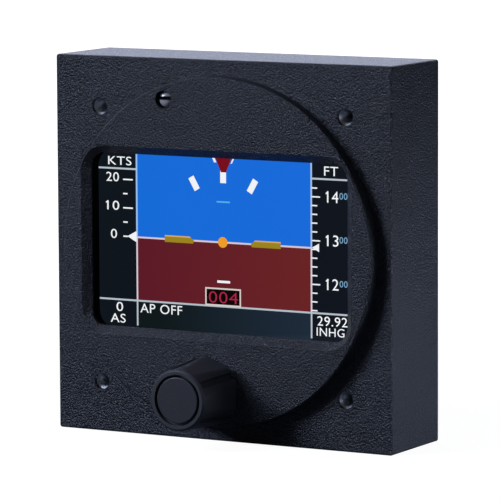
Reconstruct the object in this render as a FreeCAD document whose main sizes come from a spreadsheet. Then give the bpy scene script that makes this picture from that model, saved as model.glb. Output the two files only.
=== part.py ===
import FreeCAD, Part
import math
import os
from types import SimpleNamespace

import Sketcher
from FreeCAD import Placement, Rotation, Vector

# Panel instrument with a colour display, a push-and-turn knob and an autopilot status line.
# Millimetres. +Z is up, the face looks along -Y. The origin is the centre of the four
# fixing screws in the plane of the square case's front face, which lies behind the panel.

SIZES = {
    # case: a square box with a round spigot for the panel hole, just large enough
    # for the window's corners and the knob
    "case_margin": 3.6,
    "case_edge": 0.6,
    "front_wall": 2.4,
    "side_wall": 3.0,
    "rear_space": 6.6,
    "window_margin": 0.177,
    "disc_rise": 3.2,
    "disc_edge": 0.35,
    # display window in the disc, with its bevel and the square land behind it
    "window_width": 69.2,
    "window_height": 43.0,
    "window_up": 1.4,
    "window_corner": 6.0,
    "window_bevel": 1.75,
    "window_land": 0.2,
    "opening_corner": 3.2,
    "window_gasket_depth": 0.3,
    "glass_lap": 0.9,
    "glass_corner": 4.8,
    "glass_depth": 1.9,
    # display cell, its lamp plate, and the clamp that holds both
    "cell_side_lap": 0.2,
    "cell_end_lap": 0.85,
    "cell_depth": 1.4,
    "lamp_inset": 0.4,
    "lamp_depth": 2.0,
    "clamp_rim": 0.5,
    "clamp_band": 2.8,
    "clamp_lap": 4.0,
    "clamp_depth": 0.8,
    "clamp_screw_apart": 40.0,
    "clamp_screw_inset": 1.3,
    "clamp_screw_bite": 2.0,
    "clamp_screw_slot": 0.5,
    "clamp_hole_depth": 3.6,
    "flex_width": 18.0,
    "flex_thick": 0.25,
    "flex_bend": 2.2,
    "flex_flat": 7.0,
    "flex_slope": 6.0,
    "flex_tail": 6.0,
    # threaded inserts on the standard screw circle, outside the panel hole
    "screw_out": 5.056,
    "screw_mouth_radius": 1.95,
    "insert_skin": 1.0,
    "insert_length": 6.0,
    "insert_radius": 2.6,
    "insert_bore": 1.42,
    "insert_lead": 0.5,
    "insert_boss": 4.6,
    # posts inside the case
    "cover_post": 6.8,
    "side_post_radius": 2.8,
    "side_post_gap": 0.15,
    "side_post_in": 2.5,
    "board_post_up": 18.0,
    "tapped_radius": 1.25,
    "tapped_depth": 7.0,
    # light sensor window
    "sensor_left": 12.9,
    "sensor_up": 33.9,
    "sensor_hole": 2.05,
    "sensor_recess": 0.5,
    "pipe_flange": 2.9,
    "pipe_flange_depth": 0.8,
    "pipe_tail": 1.5,
    # main board and what it carries
    "board_thick": 1.6,
    "board_gap": 0.6,
    "board_screw_head": 2.25,
    "chip_depth": 1.6,
    "chip_width": 17.0,
    "chip_across": 13.3,
    "chip_up": 9.0,
    "memory_width": 9.0,
    "memory_height": 7.2,
    "memory_apart": 10.8,
    "memory_down": 8.0,
    "can_width": 22.0,
    "can_height": 18.0,
    "can_depth": 2.6,
    "can_wall": 0.3,
    "motion_width": 8.0,
    "motion_depth": 1.3,
    "power_apart": 56.0,
    "choke_width": 12.0,
    "choke_depth": 5.0,
    "capacitor_radius": 3.15,
    "capacitor_depth": 5.4,
    "capacitor_step": 7.2,
    "socket_width": 20.0,
    "socket_height": 5.0,
    "socket_depth": 2.0,
    "socket_slot": 0.8,
    "socket_bite": 1.6,
    "light_chip": 3.0,
    "light_chip_depth": 0.8,
    # rear cover
    "cover_thick": 1.8,
    "cover_ledge": 1.4,
    "cover_gap": 0.1,
    "gasket_depth": 0.4,
    "gasket_inset": 0.4,
    "screw_radius": 1.2,
    "screw_head": 2.5,
    "screw_head_depth": 1.2,
    "cross_reach": 2.4,
    "cross_wing": 0.55,
    "cross_depth": 0.9,
    "screw_length": 6.0,
    # air ports
    "port_apart": 48.0,
    "port_up": 24.0,
    "port_thread": 4.0,
    "port_hex": 11.0,
    "port_hex_depth": 4.0,
    "port_barb": 3.3,
    "port_neck": 2.75,
    "port_tip": 2.5,
    "barb_length": 3.25,
    "port_bore": 1.6,
    "port_seal": 0.6,
    "port_nut_depth": 2.0,
    "sleeve_radius": 2.0,
    "nipple_radius": 1.2,
    "nipple_length": 1.6,
    "nipple_bore": 0.6,
    "air_chip": 9.0,
    "air_chip_depth": 2.8,
    # data connector
    "plug_down": 20.0,
    "plug_end": 2.605,
    "plug_side": 2.53,
    "plug_taper": 1.4,
    "plug_corner": 1.9,
    "plug_wall": 0.4,
    "plug_reach": 6.0,
    "plug_block_short": 0.3,
    "contact_short": 0.8,
    "contact_tail": 1.0,
    "plug_block_end": 0.1,
    "plug_block_side": 1.45,
    "flange_end": 2.9,
    "flange_side": 2.3,
    "flange_thick": 0.8,
    "contact_pitch": 2.77,
    "contact_drop": 2.84,
    "contact_radius": 0.45,
    "jack_out": 4.35,
    "jack_hex": 5.0,
    "jack_length": 5.5,
    "jack_floor": 1.4,
    "jack_shank": 1.4,
    "jack_thread": 1.1,
    "jack_nut": 2.5,
    # knob
    "knob_left": 1.2,
    "knob_gap": 1.4,
    "knob_length": 13.4,
    "knob_front_radius": 6.9,
    "knob_rear_radius": 8.05,
    "knob_rim": 0.45,
    "knob_skirt_bore": 6.3,
    "knob_skirt_depth": 2.5,
    "groove_width": 1.5,
    "groove_depth": 0.8,
    "groove_start": 0.9,
    "groove_count": 5,
    "groove_angle": 33.0,
    "flat_depth": 0.5,
    "cap_radius": 5.15,
    "cap_moat": 0.6,
    "cap_recess": 1.0,
    "cap_plate": 0.9,
    "cap_spigot": 4.3,
    "cap_spigot_wall": 0.8,
    "cap_spigot_length": 1.3,
    "collet_pocket": 1.6,
    "collet_web": 1.2,
    "collet_front_radius": 3.9,
    "collet_rear_radius": 4.6,
    "collet_end": 1.8,
    "collet_slot": 0.8,
    "knob_screw_head": 2.8,
    "knob_screw_head_depth": 1.3,
    "knob_screw_slot": 0.65,
    # rotary encoder with push switch
    "shaft_radius": 3.0,
    "shaft_fit": 0.03,
    "push_travel": 0.5,
    "bushing_radius": 3.5,
    "bushing_gap": 0.1,
    "bushing_front": 2.9,
    "washer_radius": 5.2,
    "washer_thick": 0.5,
    "nut_flats": 10.0,
    "nut_thick": 2.0,
    "bracket_thick": 0.6,
    "bracket_leg": 6.7,
    "bracket_gap": 1.7,
    "encoder_width": 12.4,
    "encoder_height": 13.4,
    "encoder_depth": 5.8,
    "encoder_floor": 0.6,
    "encoder_cavity": 5.2,
    "collar_radius": 4.0,
    "collar_thick": 0.8,
    "drive_radius": 2.4,
    "drive_flat": 1.7,
    "rotor_radius": 4.9,
    "rotor_thick": 2.0,
    "dome_radius": 2.6,
    "dome_rise": 0.55,
    "dome_thick": 0.15,
    "small_board_width": 20.0,
    "small_board_height": 16.0,
    "terminal_radius": 0.4,
    "terminal_pitch": 2.5,
    "terminal_length": 2.4,
    "header_width": 12.6,
    "header_height": 2.5,
    "header_depth": 2.2,
    # clearances
    "slip": 0.1,
    "thread_gap": 0.05,
}

doc = FreeCAD.newDocument("instrument")
sheet = doc.addObject("Spreadsheet::Sheet", "Sizes")
for row, (name, number) in enumerate(SIZES.items(), start=1):
    sheet.set(f"A{row}", name.replace("_", " "))
    sheet.set(f"B{row}", str(number))
    sheet.setAlias(f"B{row}", name)
doc.recompute()


class Size:
    """A length with its number and the formula of sheet cells that gives it."""

    def __init__(self, number, formula):
        self.number = float(number)
        self.formula = formula

    def joined(self, other, sign, number):
        return Size(number, f"({self.formula} {sign} {other.formula})")

    def __add__(self, other):
        other = as_size(other)
        return self.joined(other, "+", self.number + other.number)

    def __sub__(self, other):
        other = as_size(other)
        return self.joined(other, "-", self.number - other.number)

    def __mul__(self, other):
        other = as_size(other)
        return self.joined(other, "*", self.number * other.number)

    def __truediv__(self, other):
        other = as_size(other)
        return self.joined(other, "/", self.number / other.number)

    def __neg__(self):
        return Size(-self.number, f"(0 - {self.formula})")

    def __radd__(self, other):
        return as_size(other) + self

    def __rsub__(self, other):
        return as_size(other) - self

    def __rmul__(self, other):
        return as_size(other) * self


def as_size(value):
    return value if isinstance(value, Size) else Size(value, repr(float(value)))


s = SimpleNamespace(**{name: Size(sheet.get(name), f"Sizes.{name}") for name in SIZES})



def root(value):
    return Size(math.sqrt(value.number), f"sqrt({value.formula})")


def larger(a, b):
    return Size(max(a.number, b.number), f"max({a.formula}; {b.formula})")


def reach(x, z):
    return root(x * x + z * z)


# Planes across the depth of the instrument, from the panel side to the rear.
disc_face = -s.disc_rise
lip_back = disc_face + s.window_bevel + s.window_land
glass_front = lip_back + s.window_gasket_depth
glass_back = glass_front + s.glass_depth
cell_back = glass_back + s.cell_depth
lamp_back = cell_back + s.lamp_depth
clamp_back = lamp_back + s.clamp_depth
encoder_front = s.front_wall + s.bracket_thick
encoder_back = encoder_front + s.encoder_depth
small_board_rear = encoder_back + s.board_thick
board_front = small_board_rear + s.header_depth
board_rear = board_front + s.board_thick
cover_front = board_rear + s.rear_space
case_depth = cover_front + s.cover_thick
ledge = cover_front - s.gasket_depth
insert_front = s.insert_skin
insert_rear = insert_front + s.insert_length

# Places across the face, from the window outwards.
CORNERS = ((-1, -1), (1, -1), (1, 1), (-1, 1))
LONG_ROW, SHORT_ROW = 8, 7
opening_width = s.window_width - s.window_bevel * 2
opening_height = s.window_height - s.window_bevel * 2
glass_width = opening_width + s.glass_lap * 2
glass_height = opening_height + s.glass_lap * 2
cell_width = glass_width + s.cell_side_lap * 2
cell_height = glass_height + s.cell_end_lap * 2
clamp_width = cell_width + (s.slip + s.clamp_rim) * 2
clamp_height = cell_height + s.clamp_band * 2
clamp_screw_z = clamp_height / 2 - s.clamp_screw_inset
knob_x = -s.knob_left
knob_z = s.window_up - clamp_height / 2 - s.bracket_gap - s.encoder_height / 2
corner_x = s.window_width / 2 - s.window_corner
corner_z = s.window_height / 2 + s.window_up - s.window_corner
corner_reach = reach(corner_x, corner_z) + s.window_corner
knob_reach = reach(knob_x, knob_z) + s.knob_rear_radius
disc_radius = larger(corner_reach + s.window_margin, knob_reach)
side_post_reach = clamp_width / 2 + s.side_post_gap + s.side_post_radius + s.side_post_in
half_case = larger(disc_radius + s.case_margin, side_post_reach + s.side_wall)
insert_x = (disc_radius + s.screw_out) / math.sqrt(2)
cavity = half_case - s.side_wall
recess = cavity + s.cover_ledge
side_post_x = cavity - s.side_post_in
cover_screw_x = cavity - s.cover_post / 2
sensor_x = -s.sensor_left
port_x = s.port_apart / 2
plug_z = -s.plug_down
plug_width = s.contact_pitch * (LONG_ROW - 1) + s.plug_end * 2
plug_height = s.contact_drop + s.plug_side * 2
jack_x = plug_width / 2 + s.jack_out

# Planes along the knob's axis.
knob_rear = disc_face - s.knob_gap
knob_front = knob_rear - s.knob_length
cap_seat = knob_front + s.cap_recess
pocket_floor = cap_seat + s.collet_pocket
collet_seat = pocket_floor + s.collet_web
skirt_floor = knob_rear - s.knob_skirt_depth
collet_front = collet_seat + s.slip * 2
collet_rear = skirt_floor - s.slip * 2
shaft_front = collet_front + s.collet_end + s.slip * 2
bushing_front = disc_face - s.bushing_front
encoder_floor = encoder_back - s.encoder_floor
collar_front = encoder_front + s.thread_gap
rotor_front = collar_front + s.collar_thick + s.push_travel + s.dome_rise
shaft_tip = encoder_floor - s.dome_rise - s.push_travel - s.thread_gap


def bind(thing, path, value):
    """Tie one property of an object to the sheet."""
    thing.setExpression(path, as_size(value).formula)


def put(thing, x=0, y=0, z=0):
    for axis, value in zip("xyz", (x, y, z)):
        bind(thing, f"Placement.Base.{axis}", value)
    return thing


def origin_plane(body, role):
    return next(item for item in body.Origin.OriginFeatures if item.Role == role)


def new_body(label):
    body = doc.addObject("PartDesign::Body", label)
    body.Label = label
    return body


def new_sketch(body, role="XZ_Plane", at=0, turn=0):
    """A sketch across the view (XZ) at depth `at`, or in the XY plane turned about Y."""
    sk = body.newObject("Sketcher::SketchObject", body.Label + "_sketch")
    sk.AttachmentSupport = [(origin_plane(body, role), "")]
    sk.MapMode = "FlatFace"
    if turn:
        sk.AttachmentOffset = Placement(Vector(), Rotation(Vector(0, 1, 0), turn))
    if role == "XZ_Plane":
        bind(sk, "AttachmentOffset.Base.z", -as_size(at))
    return sk


def hold(sk, kind, geometry, point, value):
    """Fix one coordinate of a point, tied to the sheet."""
    value = as_size(value)
    index = sk.addConstraint(Sketcher.Constraint(kind, -1, 1, geometry, point, value.number))
    sk.setExpression(f"Constraints[{index}]", value.formula)


def hold_point(sk, geometry, point, x, y):
    hold(sk, "DistanceX", geometry, point, x)
    hold(sk, "DistanceY", geometry, point, y)


def polygon(sk, points):
    points = [(as_size(x), as_size(y)) for x, y in points]
    spots = [Vector(x.number, y.number, 0) for x, y in points]
    first = sk.GeometryCount
    count = len(points)
    for i in range(count):
        sk.addGeometry(Part.LineSegment(spots[i], spots[(i + 1) % count]), False)
    for i in range(count):
        after = first + (i + 1) % count
        sk.addConstraint(Sketcher.Constraint("Coincident", first + i, 2, after, 1))
    for i, (x, y) in enumerate(points):
        hold_point(sk, first + i, 1, x, y)
    return sk


def rectangle(sk, x, z, width, height):
    x, z, width, height = (as_size(v) for v in (x, z, width, height))
    left, right = x - width / 2, x + width / 2
    low, high = z - height / 2, z + height / 2
    return polygon(sk, [(left, low), (right, low), (right, high), (left, high)])


def circle(sk, x, z, radius):
    x, z, radius = as_size(x), as_size(z), as_size(radius)
    spot = Vector(x.number, z.number, 0)
    g = sk.addGeometry(Part.Circle(spot, Vector(0, 0, 1), radius.number), False)
    hold_point(sk, g, 3, x, z)
    index = sk.addConstraint(Sketcher.Constraint("Radius", g, radius.number))
    sk.setExpression(f"Constraints[{index}]", radius.formula)
    return sk


def rounded_rectangle(sk, x, z, width, height, radius):
    """A rectangle with tangent arcs at its corners, drawn round from lower left."""
    x, z, width, height, radius = (as_size(v) for v in (x, z, width, height, radius))
    r = radius.number
    centres = []
    arcs = []
    for k, (i, j) in enumerate(CORNERS):
        cx = x + (width / 2 - radius) * i
        cz = z + (height / 2 - radius) * j
        spot = Vector(cx.number, cz.number, 0)
        start = math.pi + k * math.pi / 2
        round_corner = Part.ArcOfCircle(
            Part.Circle(spot, Vector(0, 0, 1), r), start, start + math.pi / 2
        )
        arcs.append(sk.addGeometry(round_corner, False))
        centres.append((cx, cz))
    for k in range(4):
        begin = sk.getPoint(arcs[k], 2)
        end = sk.getPoint(arcs[(k + 1) % 4], 1)
        side = sk.addGeometry(Part.LineSegment(begin, end), False)
        sk.addConstraint(Sketcher.Constraint("Tangent", arcs[k], 2, side, 1))
        sk.addConstraint(Sketcher.Constraint("Tangent", side, 2, arcs[(k + 1) % 4], 1))
    for g, (cx, cz) in zip(arcs, centres):
        hold_point(sk, g, 3, cx, cz)
        index = sk.addConstraint(Sketcher.Constraint("Radius", g, r))
        sk.setExpression(f"Constraints[{index}]", radius.formula)
    return sk


def pad(body, sk, length):
    """Grow a sketch towards the rear."""
    feature = body.newObject("PartDesign::Pad", body.Label + "_pad")
    feature.Profile = sk
    feature.Reversed = True
    bind(feature, "Length", length)
    doc.recompute()
    return feature


def pocket(body, sk, length, middle=False):
    """Cut a sketch towards the rear, or to both sides of its plane."""
    before = body.Shape.Volume
    feature = body.newObject("PartDesign::Pocket", body.Label + "_pocket")
    feature.Profile = sk
    if middle:
        feature.SideType = "Symmetric"
    bind(feature, "Length", length)
    doc.recompute()
    if not feature.Shape.Volume < before - 1e-6:
        raise RuntimeError(f"a pocket of {body.Label} cut nothing")
    return feature


def revolve(body, sk):
    """Turn a profile drawn in the XY plane about the Y axis."""
    feature = body.newObject("PartDesign::Revolution", body.Label + "_turned")
    feature.Profile = sk
    feature.ReferenceAxis = (sk, ["V_Axis"])
    feature.Angle = 360.0
    doc.recompute()
    return feature


def around(body, feature, count):
    """Repeat a cut evenly about the Y axis."""
    pattern = body.newObject("PartDesign::PolarPattern", body.Label + "_around")
    pattern.Originals = [feature]
    pattern.Axis = (origin_plane(body, "Y_Axis"), [""])
    pattern.Angle = 360.0
    bind(pattern, "Occurrences", count)
    body.Tip = pattern
    doc.recompute()
    return pattern


def edge_names(shape, wanted):
    names = [f"Edge{i}" for i, edge in enumerate(shape.Edges, start=1) if wanted(edge)]
    if not names:
        raise RuntimeError("no edge matches")
    return names


def round_edges(body, wanted, radius):
    base = body.Tip
    feature = body.newObject("PartDesign::Fillet", body.Label + "_round")
    feature.Base = (base, edge_names(base.Shape, wanted))
    bind(feature, "Radius", radius)
    doc.recompute()
    return feature


def bevel_edges(body, wanted, size):
    base = body.Tip
    feature = body.newObject("PartDesign::Chamfer", body.Label + "_bevel")
    feature.Base = (base, edge_names(base.Shape, wanted))
    bind(feature, "Size", size)
    doc.recompute()
    return feature


def lies_in_depth(edge, depth):
    """True for an edge whose whole length lies at one depth."""
    box = edge.BoundBox
    at = as_size(depth).number
    return abs(box.YMin - at) < 1e-5 and abs(box.YMax - at) < 1e-5


def runs_in_depth(edge):
    """True for a straight edge along Y."""
    box = edge.BoundBox
    return box.YLength > 1e-3 and box.XLength < 1e-6 and box.ZLength < 1e-6


TURNED = Rotation(Vector(1, 0, 0), -90)


def rod(x, y, z, radius, length):
    """A plain cylinder along +Y from the given point."""
    thing = doc.addObject("Part::Cylinder", "rod")
    thing.Placement = Placement(Vector(), TURNED)
    bind(thing, "Radius", radius)
    bind(thing, "Height", length)
    return put(thing, x, y, z)


def cone(x, y, z, near, far, length):
    thing = doc.addObject("Part::Cone", "cone")
    thing.Placement = Placement(Vector(), TURNED)
    bind(thing, "Radius1", near)
    bind(thing, "Radius2", far)
    bind(thing, "Height", length)
    return put(thing, x, y, z)


def hexagon(x, y, z, flats, length):
    thing = doc.addObject("Part::Prism", "hexagon")
    thing.Polygon = 6
    thing.Placement = Placement(Vector(), TURNED)
    bind(thing, "Circumradius", as_size(flats) / math.sqrt(3))
    bind(thing, "Height", length)
    return put(thing, x, y, z)


def block(x, y, z, width, depth, height):
    """A box centred on x and z that starts at depth y."""
    width, height = as_size(width), as_size(height)
    thing = doc.addObject("Part::Box", "block")
    bind(thing, "Length", width)
    bind(thing, "Width", depth)
    bind(thing, "Height", height)
    return put(thing, as_size(x) - width / 2, y, as_size(z) - height / 2)


def cut(base, *tools):
    for tool in tools:
        joined = doc.addObject("Part::Cut", "cut")
        joined.Base = base
        joined.Tool = tool
        base = joined
    return base


def fuse(*things):
    joined = doc.addObject("Part::MultiFuse", "joined")
    joined.Shapes = list(things)
    return joined


def group(*things):
    """Several like pieces kept as separate solids in one node."""
    together = doc.addObject("Part::Compound", "group")
    together.Links = list(things)
    return together


def name_part(thing, label):
    thing.Label = label
    PIECES[label] = thing
    return thing


PIECES = {}


def corner_posts(body):
    """Square posts for the cover's screws, grown out of the four inside corners."""
    sk = new_sketch(body, at=s.front_wall)
    for i, j in CORNERS:
        wide = s.cover_post + s.slip
        rectangle(sk, cover_screw_x * i, cover_screw_x * j, wide, wide)
    return pad(body, sk, cover_front - s.front_wall)


def make_housing():
    """One-piece case: square box, round spigot, window, bosses and posts."""
    body = new_body("housing")
    pad(body, rectangle(new_sketch(body), 0, 0, half_case * 2, half_case * 2), case_depth)
    round_edges(body, lambda e: runs_in_depth(e) or lies_in_depth(e, 0), s.case_edge)

    pad(body, circle(new_sketch(body, at=disc_face), 0, 0, disc_radius), s.disc_rise)
    bevel_edges(body, lambda e: lies_in_depth(e, disc_face), s.disc_edge)

    sk = new_sketch(body, at=s.front_wall)
    pocket(body, rectangle(sk, 0, 0, cavity * 2, cavity * 2), case_depth - s.front_wall)
    sk = new_sketch(body, at=ledge)
    pocket(body, rectangle(sk, 0, 0, recess * 2, recess * 2), case_depth - ledge)

    sk = new_sketch(body, at=s.front_wall)
    for i, j in CORNERS:
        circle(sk, insert_x * i, insert_x * j, s.insert_boss)
    pad(body, sk, insert_rear - s.front_wall)
    corner_posts(body)
    for top, ups in ((cover_front, (0,)), (board_front, (-1, 1))):
        for up in ups:
            for side in (-1, 1):
                sk = new_sketch(body, at=s.front_wall)
                centre = side_post_x * side
                circle(sk, centre, s.board_post_up * up, s.side_post_radius)
                pad(body, sk, top - s.front_wall)

    shape_window(body)

    sk = new_sketch(body, at=s.insert_skin)
    mouths = new_sketch(body)
    for i, j in CORNERS:
        circle(sk, insert_x * i, insert_x * j, s.insert_radius + s.thread_gap)
        circle(mouths, insert_x * i, insert_x * j, s.screw_mouth_radius)
    pocket(body, sk, s.insert_length + s.slip)
    pocket(body, mouths, s.insert_skin)

    sk = new_sketch(body, at=disc_face)
    circle(sk, knob_x, knob_z, s.bushing_radius + s.bushing_gap)
    circle(sk, sensor_x, s.sensor_up, s.sensor_hole)
    pocket(body, sk, s.disc_rise + s.front_wall)

    tap_holes(body)
    return body


def shape_window(body):
    """The window: bevel, land, glass seat and display seat, one behind the other."""
    sk = new_sketch(body, at=disc_face)
    rounded_rectangle(sk, 0, s.window_up, opening_width, opening_height, s.opening_corner)
    pocket(body, sk, s.disc_rise + s.front_wall)

    sk = new_sketch(body, at=disc_face)
    rounded_rectangle(sk, 0, s.window_up, s.window_width, s.window_height, s.window_corner)
    bevel = pocket(body, sk, s.window_bevel)
    bevel.TaperAngle = -45.0
    doc.recompute()

    sk = new_sketch(body, at=lip_back)
    wide, high = glass_width + s.slip * 2, glass_height + s.slip * 2
    rounded_rectangle(sk, 0, s.window_up, wide, high, s.glass_corner + s.slip)
    pocket(body, sk, s.front_wall - lip_back)
    sk = new_sketch(body, at=glass_back)
    wide, high = cell_width + s.slip * 2, cell_height + s.slip * 2
    pocket(body, rectangle(sk, 0, s.window_up, wide, high), s.front_wall - glass_back)


def tap_holes(body):
    """Blind tapped holes for the cover, board and clamp screws."""
    from_cover = new_sketch(body, at=cover_front - s.tapped_depth)
    for i, j in CORNERS:
        circle(from_cover, cover_screw_x * i, cover_screw_x * j, s.tapped_radius)
    for side in (-1, 1):
        circle(from_cover, side_post_x * side, 0, s.tapped_radius)
    pocket(body, from_cover, s.tapped_depth)
    from_board = new_sketch(body, at=board_front - s.tapped_depth)
    for i, j in CORNERS:
        circle(from_board, side_post_x * i, s.board_post_up * j, s.tapped_radius)
    pocket(body, from_board, s.tapped_depth)
    from_clamp = new_sketch(body, at=s.front_wall - s.clamp_hole_depth)
    for i, j in CORNERS:
        x, z = clamp_screw_place(i, j)
        circle(from_clamp, x, z, s.screw_radius - s.slip)
    pocket(body, from_clamp, s.clamp_hole_depth)


def clamp_screw_place(i, j):
    return s.clamp_screw_apart / 2 * i, s.window_up + clamp_screw_z * j


def make_inserts():
    """Four knurled brass inserts, pressed in from inside, with the fixing screws' thread."""
    pieces = []
    for i, j in CORNERS:
        x, z = insert_x * i, insert_x * j
        barrel = rod(x, insert_front, z, s.insert_radius, s.insert_length)
        bore = rod(x, insert_front - s.slip, z, s.insert_bore, s.insert_length + s.slip * 2)
        mouth = cone(x, insert_front, z, s.screw_mouth_radius, s.insert_bore, s.insert_lead)
        pieces.append(cut(barrel, bore, mouth))
    return group(*pieces)


def make_window_gasket():
    body = new_body("window_gasket")
    sk = new_sketch(body, at=lip_back)
    rounded_rectangle(sk, 0, s.window_up, glass_width, glass_height, s.glass_corner)
    rounded_rectangle(sk, 0, s.window_up, opening_width, opening_height, s.opening_corner)
    pad(body, sk, s.window_gasket_depth)
    return body


def make_window_glass():
    body = new_body("window_glass")
    sk = new_sketch(body, at=glass_front)
    rounded_rectangle(sk, 0, s.window_up, glass_width, glass_height, s.glass_corner)
    pad(body, sk, s.glass_depth)
    return body


def make_display():
    """The display cell and, behind it, the lamp plate that lights it."""
    up = s.window_up
    cell = block(0, glass_back, up, cell_width, s.cell_depth, cell_height)
    lamp_width = cell_width - s.lamp_inset * 2
    lamp_height = cell_height - s.lamp_inset * 2
    lamp = block(0, cell_back, up, lamp_width, s.lamp_depth, lamp_height)
    return cell, lamp


def make_clamp():
    """Moulded frame over the lamp plate, open in the middle for the flexible cable."""
    body = new_body("display_clamp")
    up = s.window_up
    sk = new_sketch(body, at=s.front_wall)
    rectangle(sk, 0, up, clamp_width, clamp_height)
    pad(body, sk, clamp_back - s.front_wall)
    sk = new_sketch(body, at=s.front_wall)
    rectangle(sk, 0, up, cell_width + s.slip * 2, cell_height + s.slip * 2)
    pocket(body, sk, lamp_back - s.front_wall)
    sk = new_sketch(body, at=s.front_wall)
    wide, high = cell_width - s.clamp_lap * 2, cell_height - s.clamp_lap * 2
    rounded_rectangle(sk, 0, up, wide, high, s.clamp_lap / 2)
    for i, j in CORNERS:
        x, z = clamp_screw_place(i, j)
        circle(sk, x, z, s.screw_radius - s.thread_gap)
    pocket(body, sk, clamp_back - s.front_wall)
    return body


def make_clamp_screws():
    pieces = []
    shank = s.screw_radius - s.slip - s.thread_gap
    for i, j in CORNERS:
        x, z = clamp_screw_place(i, j)
        head = rod(x, clamp_back, z, s.clamp_screw_inset - s.thread_gap, s.screw_head_depth)
        length = clamp_back - s.front_wall + s.clamp_screw_bite
        stem = rod(x, s.front_wall - s.clamp_screw_bite, z, shank, length)
        floor = clamp_back + s.screw_head_depth - s.clamp_screw_slot
        slot = block(x, floor, z, s.clamp_screw_inset * 2, s.clamp_screw_slot, s.clamp_screw_slot)
        pieces.append(cut(fuse(head, stem), slot))
    return group(*pieces)


def make_display_flex():
    """Ribbon cable: flat on the lamp plate, back in an S bend, then down into its socket."""
    half = s.flex_thick.number / 2
    near = lamp_back.number + half + s.thread_gap.number
    far = board_front.number - s.socket_depth.number / 2
    turn = s.window_up.number
    top = turn + s.flex_flat.number
    down = turn - s.flex_slope.number
    end = down - s.flex_tail.number
    spots = [Vector(0, near, top), Vector(0, near, turn), Vector(0, far, down), Vector(0, far, end)]
    path = bent_wire(spots, s.flex_bend.number)
    width = s.flex_width.number / 2
    ring = [
        Vector(-width, near - half, top),
        Vector(width, near - half, top),
        Vector(width, near + half, top),
        Vector(-width, near + half, top),
    ]
    section = Part.makePolygon(ring + ring[:1])
    ribbon = doc.addObject("Part::Feature", "display_flex")
    ribbon.Shape = path.makePipeShell([section], True, False)
    return ribbon


def bent_wire(spots, radius):
    """Straight runs joined by tangent arcs of one radius."""
    edges = []
    begin = spots[0]
    for a, b, c in zip(spots, spots[1:], spots[2:]):
        before, after = (a - b).normalize(), (c - b).normalize()
        reach = radius / math.tan(before.getAngle(after) / 2)
        start, end = b + before * reach, b + after * reach
        centre_line = (before + after).normalize()
        middle = b + centre_line * (math.hypot(radius, reach) - radius)
        edges.append(Part.LineSegment(begin, start).toShape())
        edges.append(Part.Arc(start, middle, end).toShape())
        begin = end
    edges.append(Part.LineSegment(begin, spots[-1]).toShape())
    return Part.Wire(edges)


def make_light_pipe():
    """Clear rod with a domed front that carries daylight to the brightness sensor."""
    body = new_body("light_pipe")
    front = disc_face + s.sensor_recess
    wide = s.sensor_hole - s.slip
    flange_back = s.front_wall + s.pipe_flange_depth
    tail = board_front - s.light_chip_depth - s.slip * 2
    sk = new_sketch(body, role="XY_Plane")
    outline = [
        (0, front),
        (wide, front),
        (wide, s.front_wall),
        (s.pipe_flange, s.front_wall),
        (s.pipe_flange, flange_back),
        (s.pipe_tail, flange_back),
        (s.pipe_tail, tail),
        (0, tail),
    ]
    revolve(body, polygon(sk, outline))
    round_edges(body, lambda e: lies_in_depth(e, front), wide * 0.8)
    put(body, sensor_x, 0, s.sensor_up)
    return body


def make_light_sensor():
    front = board_front - s.light_chip_depth
    return block(sensor_x, front, s.sensor_up, s.light_chip, s.light_chip_depth, s.light_chip)


def make_main_board():
    """Main board: a square with notches for the cover posts."""
    body = new_body("main_board")
    wide, high = (cavity - s.board_gap) * 2, (cavity - s.board_gap) * 2
    sk = new_sketch(body, at=board_front)
    pad(body, rectangle(sk, 0, 0, wide, high), s.board_thick)
    notch = s.cover_post + s.board_gap
    sk = new_sketch(body, at=board_front)
    for i, j in CORNERS:
        rectangle(sk, (cavity - notch / 2) * i, (cavity - notch / 2) * j, notch, notch)
    for side in (-1, 1):
        deep = (s.side_post_in + s.side_post_radius + s.board_gap) * 2
        rectangle(sk, cavity * side, 0, deep, (s.side_post_radius + s.board_gap) * 2)
    for i, j in CORNERS:
        circle(sk, side_post_x * i, s.board_post_up * j, s.tapped_radius)
    for x, z in connector_places():
        circle(sk, x, z, s.contact_radius + s.thread_gap)
    pocket(body, sk, s.board_thick)
    return body


def with_cross(screw, x, top, z):
    """Cuts a cross recess into a screw whose head ends at the given depth."""
    floor = top - s.cross_depth
    level = block(x, floor, z, s.cross_reach, s.cross_depth, s.cross_wing)
    upright = block(x, floor, z, s.cross_wing, s.cross_depth, s.cross_reach)
    return cut(screw, level, upright)


def make_board_screws():
    pieces = []
    for i, j in CORNERS:
        x, z = side_post_x * i, s.board_post_up * j
        head = rod(x, board_rear, z, s.board_screw_head, s.screw_head_depth)
        stem = rod(x, board_rear - s.screw_length, z, s.screw_radius, s.screw_length)
        pieces.append(with_cross(fuse(head, stem), x, board_rear + s.screw_head_depth, z))
    return group(*pieces)


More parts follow.
